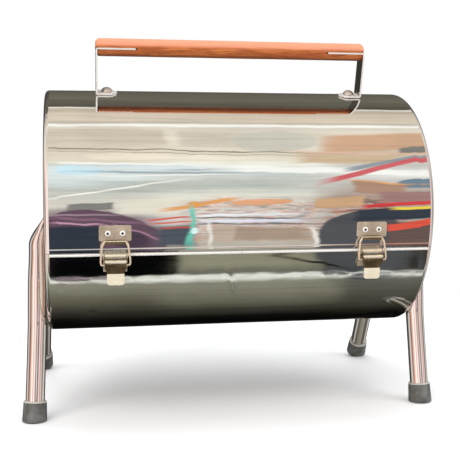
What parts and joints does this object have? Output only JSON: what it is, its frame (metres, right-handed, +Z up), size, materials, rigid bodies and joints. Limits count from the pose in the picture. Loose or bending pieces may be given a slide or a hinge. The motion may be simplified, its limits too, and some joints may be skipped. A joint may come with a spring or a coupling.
{
  "type": "portable barrel grill",
  "caption": "Portable clamshell charcoal grill: a split stainless barrel hinged at the back and latched at the front, with a wooden lid grip and folding tube legs.",
  "frame": {"origin": "on the floor, under the middle of the whole envelope", "axes": "+X to the right seen from the front, +Y to the back, +Z up; the barrel lies along X and leans forward about X on its legs"},
  "size_m": [0.5024, 0.3474, 0.4431],
  "materials": {
    "lid_steel": "polished, mirror-like",
    "base_steel": "satin, smudged",
    "grate_steel": "bright wire",
    "hinge_steel": "satin",
    "latch_nickel": "warm satin nickel plate",
    "fastener_zinc": "zinc plate",
    "grip_wood": "oiled reddish wood",
    "strap_steel": "satin",
    "leg_chrome": "polished tube",
    "foot_rubber": "satin black"
  },
  "bodies": {
    "base": {"base_shell": "base_steel", "base_end_left": "base_steel", "base_end_right": "base_steel", "base_cooking_grate": "grate_steel", "base_charcoal_grate": "grate_steel", "base_grate_clips": "grate_steel", "hinge_lower_leaf_left": "hinge_steel", "hinge_lower_leaf_right": "hinge_steel", "hinge_pins": "hinge_steel", "hinge_lower_rivets": "hinge_steel", "latch_bracket_left": "latch_nickel", "latch_bracket_right": "latch_nickel", "latch_pins": "latch_nickel", "latch_bracket_rivets": "latch_nickel", "base_leg_bolts": "fastener_zinc", "base_leg_wing_nuts": "fastener_zinc", "base_leg_washers": "fastener_zinc"},
    "lid": {"lid_shell": "lid_steel", "lid_end_left": "lid_steel", "lid_end_right": "lid_steel", "lid_cooking_grate": "grate_steel", "lid_charcoal_grate": "grate_steel", "lid_grate_clips": "grate_steel", "hinge_upper_leaf_left": "hinge_steel", "hinge_upper_leaf_right": "hinge_steel", "hinge_upper_rivets": "hinge_steel", "keeper_left": "latch_nickel", "keeper_right": "latch_nickel", "keeper_rivets": "latch_nickel", "handle_grip": "grip_wood", "handle_strap_left": "strap_steel", "handle_strap_right": "strap_steel", "handle_rivets": "strap_steel", "handle_nails": "strap_steel", "lid_leg_bolts": "fastener_zinc", "lid_leg_wing_nuts": "fastener_zinc", "lid_leg_washers": "fastener_zinc"},
    "left_front_leg": {"front_leg_left": "leg_chrome", "front_foot_left": "foot_rubber"},
    "left_rear_leg": {"rear_leg_left": "leg_chrome", "rear_foot_left": "foot_rubber"},
    "left_latch_lever": {"latch_lever_left": "latch_nickel"},
    "left_latch_bail": {"latch_bail_left": "latch_nickel"},
    "right_front_leg": {"front_leg_right": "leg_chrome", "front_foot_right": "foot_rubber"},
    "right_rear_leg": {"rear_leg_right": "leg_chrome", "rear_foot_right": "foot_rubber"},
    "right_latch_lever": {"latch_lever_right": "latch_nickel"},
    "right_latch_bail": {"latch_bail_right": "latch_nickel"}
  },
  "joints": [
    {"name": "lid_hinge", "type": "hinge", "parent": "base", "child": "lid", "pos_m": [0, 0.12085, 0.28036], "axis": [-1, 0, 0], "range_deg": [0, 180]},
    {"name": "left_front_leg_fold", "type": "hinge", "parent": "lid", "child": "left_front_leg", "pos_m": [-0.2163, -0.0768, 0.2591], "axis": [-1, 0, 0], "range_deg": [-10, 180]},
    {"name": "left_rear_leg_fold", "type": "hinge", "parent": "base", "child": "left_rear_leg", "pos_m": [-0.2163, 0.03275, 0.2229], "axis": [1, 0, 0], "range_deg": [-20, 120]},
    {"name": "left_latch_throw", "type": "hinge", "parent": "base", "child": "left_latch_lever", "pos_m": [-0.1445, -0.16673, 0.19959], "axis": [-1, 0, 0], "range_deg": [0, 120]},
    {"name": "left_bail_swing", "type": "hinge", "parent": "left_latch_lever", "child": "left_latch_bail", "pos_m": [-0.1445, -0.1699, 0.19041], "axis": [-1, 0, 0], "range_deg": [-135, 0]},
    {"name": "right_front_leg_fold", "type": "hinge", "parent": "lid", "child": "right_front_leg", "pos_m": [0.2163, -0.0768, 0.2591], "axis": [-1, 0, 0], "range_deg": [-10, 180]},
    {"name": "right_rear_leg_fold", "type": "hinge", "parent": "base", "child": "right_rear_leg", "pos_m": [0.2163, 0.03275, 0.2229], "axis": [1, 0, 0], "range_deg": [-20, 120]},
    {"name": "right_latch_throw", "type": "hinge", "parent": "base", "child": "right_latch_lever", "pos_m": [0.1445, -0.16673, 0.19959], "axis": [-1, 0, 0], "range_deg": [0, 120]},
    {"name": "right_bail_swing", "type": "hinge", "parent": "right_latch_lever", "child": "right_latch_bail", "pos_m": [0.1445, -0.1699, 0.19041], "axis": [-1, 0, 0], "range_deg": [-135, 0]}
  ],
  "couplings": [
    {"joint": "left_bail_swing", "follows": "left_latch_throw", "ratio": -1.1},
    {"joint": "right_bail_swing", "follows": "right_latch_throw", "ratio": -1.1}
  ]
}
